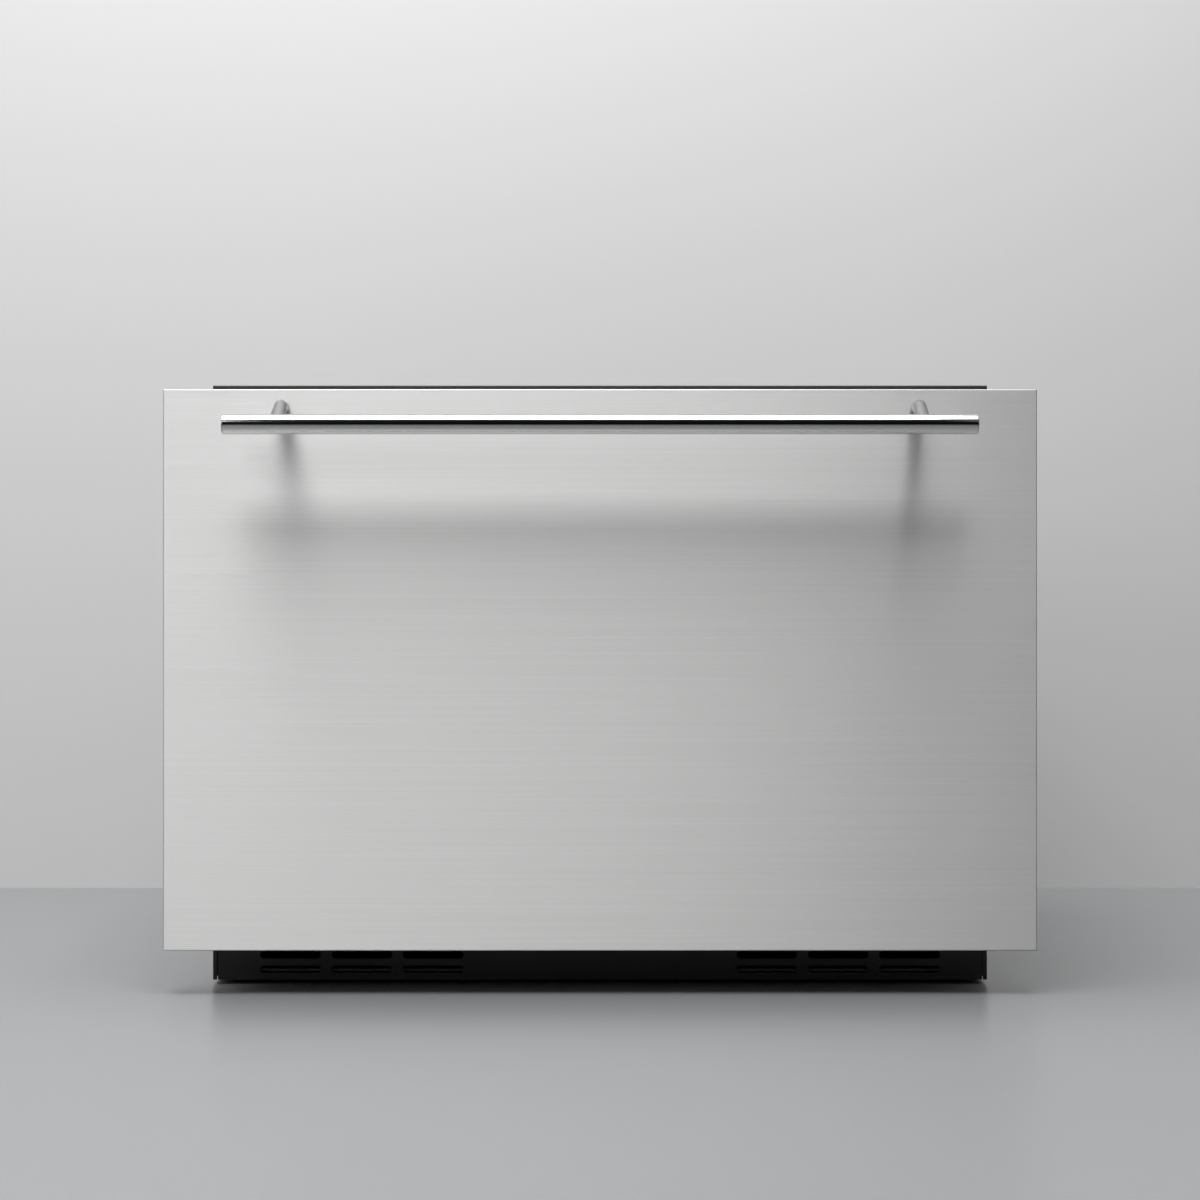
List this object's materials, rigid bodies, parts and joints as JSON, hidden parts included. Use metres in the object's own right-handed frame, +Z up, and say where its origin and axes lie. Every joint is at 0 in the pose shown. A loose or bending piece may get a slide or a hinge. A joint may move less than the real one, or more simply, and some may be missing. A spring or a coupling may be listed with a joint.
{
  "type": "under counter drawer refrigerator",
  "caption": "Low drawer refrigerator: a stainless front with a round bar handle closes a black steel cabinet, and opens an insulated bin on telescopic runners.",
  "frame": {"origin": "on the floor, under the middle of the whole object's box, feet screwed in", "axes": "+X to the right seen from the front, +Y to the back, +Z up; the drawer opens towards -Y"},
  "size_m": [0.6, 0.5638, 0.423],
  "materials": {
    "cabinet_paint": "satin",
    "zinc_sheet": "satin",
    "zinc_screw": "satin",
    "black_plastic": "satin",
    "foam": "matte",
    "liner_white": "gloss",
    "black_rubber": "matte",
    "compressor_paint": "gloss",
    "pump_iron": "matte",
    "grey_plastic": "matte",
    "copper": "satin",
    "fin_aluminium": "satin",
    "coil_aluminium": "satin",
    "clear_hose": "satin",
    "white_plastic": "satin",
    "lens": "satin",
    "runner_steel": "satin",
    "cage_steel": "satin",
    "stainless": "satin",
    "polished_steel": "polished",
    "gasket_grey": "matte",
    "magnet_strip": "matte",
    "bin_plastic": "satin",
    "rail_chrome": "polished",
    "foot_black": "matte"
  },
  "bodies": {
    "cabinet": {"cabinet_wrap": "cabinet_paint", "back_panel": "zinc_sheet", "rear_cover": "zinc_sheet", "cabinet_screws": "zinc_screw", "base_pan": "zinc_sheet", "kick_grille": "black_plastic", "breaker_collar": "black_plastic", "deck_plate": "zinc_sheet", "insulation_foam": "foam", "inner_liner": "liner_white", "cord_gland": "black_rubber", "compressor_shells": "compressor_paint", "compressor_pump": "pump_iron", "compressor_base": "compressor_paint", "compressor_grommets": "black_rubber", "compressor_bolts": "zinc_screw", "terminal_cover": "black_plastic", "drip_tray": "grey_plastic", "condenser_coil": "copper", "condenser_fins": "fin_aluminium", "condenser_fan_frame": "black_plastic", "refrigerant_lines": "copper", "drain_tube": "clear_hose", "control_box": "grey_plastic", "evaporator_coil": "coil_aluminium", "evaporator_fins": "fin_aluminium", "evaporator_pan": "fin_aluminium", "evaporator_cover": "white_plastic", "evaporator_fan_frame": "white_plastic", "control_housing": "white_plastic", "thermostat_body": "zinc_screw", "lamp_lens": "lens", "outer_runners": "runner_steel"},
    "drawer": {"front_panel": "stainless", "front_foam": "foam", "front_liner": "liner_white", "gasket": "gasket_grey", "gasket_magnets": "magnet_strip", "handle_bar": "polished_steel", "handle_posts": "polished_steel", "drawer_screws": "zinc_screw", "inner_runners": "runner_steel", "drawer_brackets": "runner_steel", "drawer_tie_bar": "runner_steel", "bin": "bin_plastic", "bin_rail": "rail_chrome"},
    "middle_runner_left": {"middle_runner_left": "runner_steel"},
    "middle_runner_right": {"middle_runner_right": "runner_steel"},
    "outer_ball_cage_left": {"outer_ball_cage_left": "cage_steel"},
    "outer_ball_cage_right": {"outer_ball_cage_right": "cage_steel"},
    "inner_ball_cage_left": {"inner_ball_cage_left": "cage_steel"},
    "inner_ball_cage_right": {"inner_ball_cage_right": "cage_steel"},
    "condenser_fan_rotor": {"condenser_fan_rotor": "black_plastic"},
    "evaporator_fan_rotor": {"evaporator_fan_rotor": "white_plastic"},
    "temperature_dial": {"temperature_dial": "white_plastic"},
    "foot_front_left": {"foot_front_left": "foot_black"},
    "foot_front_right": {"foot_front_right": "foot_black"},
    "foot_rear_left": {"foot_rear_left": "foot_black"},
    "foot_rear_right": {"foot_rear_right": "foot_black"}
  },
  "joints": [
    {"name": "drawer_slide", "type": "slide", "parent": "cabinet", "child": "drawer", "axis": [0, -1, 0], "range_m": [0, 0.34]},
    {"name": "middle_runner_left_slide", "type": "slide", "parent": "cabinet", "child": "middle_runner_left", "axis": [0, -1, 0], "range_m": [0, 0.17]},
    {"name": "middle_runner_right_slide", "type": "slide", "parent": "cabinet", "child": "middle_runner_right", "axis": [0, -1, 0], "range_m": [0, 0.17]},
    {"name": "outer_ball_cage_left_slide", "type": "slide", "parent": "cabinet", "child": "outer_ball_cage_left", "axis": [0, -1, 0], "range_m": [0, 0.085]},
    {"name": "outer_ball_cage_right_slide", "type": "slide", "parent": "cabinet", "child": "outer_ball_cage_right", "axis": [0, -1, 0], "range_m": [0, 0.085]},
    {"name": "inner_ball_cage_left_slide", "type": "slide", "parent": "cabinet", "child": "inner_ball_cage_left", "axis": [0, -1, 0], "range_m": [0, 0.255]},
    {"name": "inner_ball_cage_right_slide", "type": "slide", "parent": "cabinet", "child": "inner_ball_cage_right", "axis": [0, -1, 0], "range_m": [0, 0.255]},
    {"name": "condenser_fan_spin", "type": "hinge", "parent": "cabinet", "child": "condenser_fan_rotor", "pos_m": [0.09, 0.19387, 0.0705], "axis": [-1, 0, 0], "continuous": true},
    {"name": "evaporator_fan_spin", "type": "hinge", "parent": "cabinet", "child": "evaporator_fan_rotor", "pos_m": [0.1525, 0.20738, 0.3065], "axis": [0, -1, 0], "continuous": true},
    {"name": "temperature_dial_turn", "type": "hinge", "parent": "cabinet", "child": "temperature_dial", "pos_m": [-0.042, -0.12812, 0.365], "axis": [0, 0, -1], "range_deg": [0, 270]},
    {"name": "foot_front_left_screw", "type": "slide", "parent": "cabinet", "child": "foot_front_left", "axis": [0, 0, -1], "range_m": [0, 0.01]},
    {"name": "foot_front_right_screw", "type": "slide", "parent": "cabinet", "child": "foot_front_right", "axis": [0, 0, -1], "range_m": [0, 0.01]},
    {"name": "foot_rear_left_screw", "type": "slide", "parent": "cabinet", "child": "foot_rear_left", "axis": [0, 0, -1], "range_m": [0, 0.01]},
    {"name": "foot_rear_right_screw", "type": "slide", "parent": "cabinet", "child": "foot_rear_right", "axis": [0, 0, -1], "range_m": [0, 0.01]}
  ],
  "couplings": [
    {"joint": "middle_runner_left_slide", "follows": "drawer_slide", "ratio": 0.5},
    {"joint": "middle_runner_right_slide", "follows": "drawer_slide", "ratio": 0.5},
    {"joint": "outer_ball_cage_left_slide", "follows": "drawer_slide", "ratio": 0.25},
    {"joint": "outer_ball_cage_right_slide", "follows": "drawer_slide", "ratio": 0.25},
    {"joint": "inner_ball_cage_left_slide", "follows": "drawer_slide", "ratio": 0.75},
    {"joint": "inner_ball_cage_right_slide", "follows": "drawer_slide", "ratio": 0.75}
  ]
}
